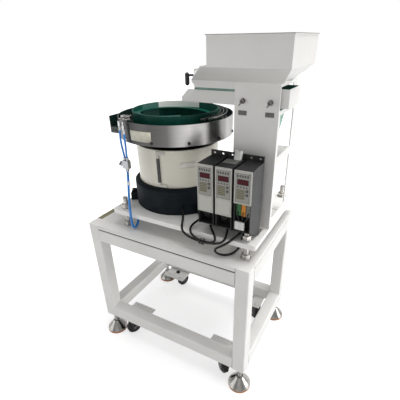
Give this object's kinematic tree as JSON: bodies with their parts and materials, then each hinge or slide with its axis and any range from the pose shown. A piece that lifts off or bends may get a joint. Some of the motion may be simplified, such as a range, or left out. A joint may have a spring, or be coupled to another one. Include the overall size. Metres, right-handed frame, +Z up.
{
  "type": "vibratory bowl feeder",
  "caption": "Vibratory bowl feeder on a steel table, with a hopper over a linear feeder, control units, air jets, levelling feet and casters.",
  "frame": {"origin": "on the floor under the middle of the whole machine", "axes": "+X to the right along the long side, +Y to the back, +Z up"},
  "size_m": [0.6955, 0.465, 1.109],
  "materials": {
    "white_paint": "semi-gloss powder coat",
    "top_paint": "semi-gloss powder coat",
    "foot_steel": "bright plated, cast bell",
    "fork_steel": "black, satin",
    "wheel_plastic": "matte",
    "plate_paint": "satin",
    "rod_steel": "zinc plated",
    "drive_paint": "slate hammer paint",
    "coil": "varnished winding",
    "spring_steel": "satin",
    "cover_paint": "ivory, satin",
    "strip_rubber": "matte",
    "head_paint": "black, satin",
    "bowl_steel": "brushed stainless",
    "bowl_lining": "smooth green lining, semi-matte",
    "track_lining": "black lining, satin",
    "steel": "satin",
    "chute_paint": "dark coating, satin",
    "hose_blue": "smooth polyurethane",
    "valve_metal": "nickel plated",
    "knob_metal": "nickel plated",
    "black_plastic": "matte",
    "toggle_metal": "nickel plated",
    "feeder_paint": "grey paint",
    "feeder_green": "light green paint",
    "green_rubber": "smooth",
    "unit_case": "dark anodised extrusion",
    "unit_panel": "silver grey print, satin",
    "terminals": "matte",
    "key_plastic": "matte",
    "lead_jacket": "satin jacket"
  },
  "bodies": {
    "frame": {"table_legs": "white_paint", "table_rails": "white_paint", "table_top": "top_paint", "caster_plates": "white_paint", "base_plate": "plate_paint", "plate_rods": "rod_steel", "drive_base": "drive_paint", "magnet_coil": "coil", "leaf_springs": "spring_steel", "drive_cover": "cover_paint", "cover_strip": "strip_rubber", "jet_hoses": "hose_blue", "air_valve": "valve_metal", "supply_hose": "hose_blue", "hose_fitting": "black_plastic", "column": "white_paint", "hopper": "white_paint", "toggle_bodies": "toggle_metal", "feeder_base": "feeder_paint", "feeder_springs": "spring_steel", "trough_skirt": "green_rubber", "unit_bracket": "black_plastic", "control_units": "unit_case", "unit_panels": "unit_panel", "terminal_blocks": "terminals", "unit_leads": "lead_jacket"},
    "bowl": {"spring_head": "head_paint", "bowl_ring": "bowl_steel", "inner_bowl": "bowl_lining", "spiral_track": "bowl_lining", "outer_track": "track_lining", "sorting_strips": "steel", "bowl_bolt": "steel", "outlet_chute": "chute_paint", "air_jets": "steel"},
    "feeder": {"feeder_head": "feeder_green", "trough": "white_paint"},
    "gate": {"gate_plate": "steel"},
    "clamp": {"clamp_lever": "black_plastic"},
    "knob": {"valve_knob": "knob_metal"},
    "toggle_left": {"toggle_lever_left": "toggle_metal"},
    "toggle_right": {"toggle_lever_right": "toggle_metal"},
    "foot_front_left": {"foot_front_left": "foot_steel"},
    "fork_front_left": {"fork_front_left": "fork_steel"},
    "wheel_front_left": {"wheel_front_left": "wheel_plastic"},
    "foot_front_right": {"foot_front_right": "foot_steel"},
    "fork_front_right": {"fork_front_right": "fork_steel"},
    "wheel_front_right": {"wheel_front_right": "wheel_plastic"},
    "foot_back_left": {"foot_back_left": "foot_steel"},
    "fork_back_left": {"fork_back_left": "fork_steel"},
    "wheel_back_left": {"wheel_back_left": "wheel_plastic"},
    "foot_back_right": {"foot_back_right": "foot_steel"},
    "fork_back_right": {"fork_back_right": "fork_steel"},
    "wheel_back_right": {"wheel_back_right": "wheel_plastic"},
    "up_key_1": {"up_key_1": "key_plastic"},
    "down_key_1": {"down_key_1": "key_plastic"},
    "up_key_2": {"up_key_2": "key_plastic"},
    "down_key_2": {"down_key_2": "key_plastic"},
    "up_key_3": {"up_key_3": "key_plastic"},
    "down_key_3": {"down_key_3": "key_plastic"}
  },
  "joints": [
    {"name": "bowl_twist", "type": "hinge", "parent": "frame", "child": "bowl", "pos_m": [-0.08025, 0.015, 0.828], "axis": [0, 0, 1], "range_deg": [-0.15, 0.15], "stiffness_Nm_per_rad": 4000, "deforming": ["leaf_springs"]},
    {"name": "feeder_stroke", "type": "slide", "parent": "frame", "child": "feeder", "axis": [1, 0, 0], "range_m": [-0.001, 0.001], "stiffness_N_per_m": 20000, "deforming": ["feeder_springs"]},
    {"name": "gate_lift", "type": "slide", "parent": "frame", "child": "gate", "axis": [0, 0, 1], "range_m": [0, 0.014]},
    {"name": "clamp_turn", "type": "hinge", "parent": "frame", "child": "clamp", "pos_m": [0.01975, -0.025, 1.0085], "axis": [1, 0, 0], "range_deg": [-90, 90]},
    {"name": "knob_turn", "type": "hinge", "parent": "frame", "child": "knob", "pos_m": [-0.16525, -0.169, 0.759], "axis": [1, 0, 0], "continuous": true},
    {"name": "toggle_left_flip", "type": "hinge", "parent": "frame", "child": "toggle_left", "pos_m": [0.18975, -0.0735, 0.955], "axis": [1, 0, 0], "range_deg": [-36, 0]},
    {"name": "toggle_right_flip", "type": "hinge", "parent": "frame", "child": "toggle_right", "pos_m": [0.26575, -0.0735, 0.955], "axis": [1, 0, 0], "range_deg": [-36, 0]},
    {"name": "foot_front_left_screw", "type": "slide", "parent": "frame", "child": "foot_front_left", "axis": [0, 0, -1], "range_m": [0, 0.02]},
    {"name": "caster_front_left_swivel", "type": "hinge", "parent": "frame", "child": "fork_front_left", "pos_m": [-0.21225, -0.151, 0.084], "axis": [0, 0, 1], "continuous": true},
    {"name": "caster_front_left_roll", "type": "hinge", "parent": "fork_front_left", "child": "wheel_front_left", "pos_m": [-0.22493, -0.17819, 0.034], "axis": [-0.9063, 0.4226, 0], "continuous": true},
    {"name": "foot_front_right_screw", "type": "slide", "parent": "frame", "child": "foot_front_right", "axis": [0, 0, -1], "range_m": [0, 0.02]},
    {"name": "caster_front_right_swivel", "type": "hinge", "parent": "frame", "child": "fork_front_right", "pos_m": [0.17175, -0.151, 0.084], "axis": [0, 0, 1], "continuous": true},
    {"name": "caster_front_right_roll", "type": "hinge", "parent": "fork_front_right", "child": "wheel_front_right", "pos_m": [0.19369, -0.17146, 0.034], "axis": [-0.682, -0.7314, 0], "continuous": true},
    {"name": "foot_back_left_screw", "type": "slide", "parent": "frame", "child": "foot_back_left", "axis": [0, 0, -1], "range_m": [0, 0.02]},
    {"name": "caster_back_left_swivel", "type": "hinge", "parent": "frame", "child": "fork_back_left", "pos_m": [-0.21225, 0.151, 0.084], "axis": [0, 0, 1], "continuous": true},
    {"name": "caster_back_left_roll", "type": "hinge", "parent": "fork_back_left", "child": "wheel_back_left", "pos_m": [-0.20449, 0.17998, 0.034], "axis": [0.9659, -0.2588, 0], "continuous": true},
    {"name": "foot_back_right_screw", "type": "slide", "parent": "frame", "child": "foot_back_right", "axis": [0, 0, -1], "range_m": [0, 0.02]},
    {"name": "caster_back_right_swivel", "type": "hinge", "parent": "frame", "child": "fork_back_right", "pos_m": [0.17175, 0.151, 0.084], "axis": [0, 0, 1], "continuous": true},
    {"name": "caster_back_right_roll", "type": "hinge", "parent": "fork_back_right", "child": "wheel_back_right", "pos_m": [0.19773, 0.136, 0.034], "axis": [-0.5, -0.866, 0], "continuous": true},
    {"name": "up_key_1_press", "type": "slide", "parent": "frame", "child": "up_key_1", "axis": [0, 1, 0], "range_m": [0, 0.0008], "stiffness_N_per_m": 500},
    {"name": "down_key_1_press", "type": "slide", "parent": "frame", "child": "down_key_1", "axis": [0, 1, 0], "range_m": [0, 0.0008], "stiffness_N_per_m": 500},
    {"name": "up_key_2_press", "type": "slide", "parent": "frame", "child": "up_key_2", "axis": [0, 1, 0], "range_m": [0, 0.0008], "stiffness_N_per_m": 500},
    {"name": "down_key_2_press", "type": "slide", "parent": "frame", "child": "down_key_2", "axis": [0, 1, 0], "range_m": [0, 0.0008], "stiffness_N_per_m": 500},
    {"name": "up_key_3_press", "type": "slide", "parent": "frame", "child": "up_key_3", "axis": [0, 1, 0], "range_m": [0, 0.0008], "stiffness_N_per_m": 500},
    {"name": "down_key_3_press", "type": "slide", "parent": "frame", "child": "down_key_3", "axis": [0, 1, 0], "range_m": [0, 0.0008], "stiffness_N_per_m": 500}
  ]
}
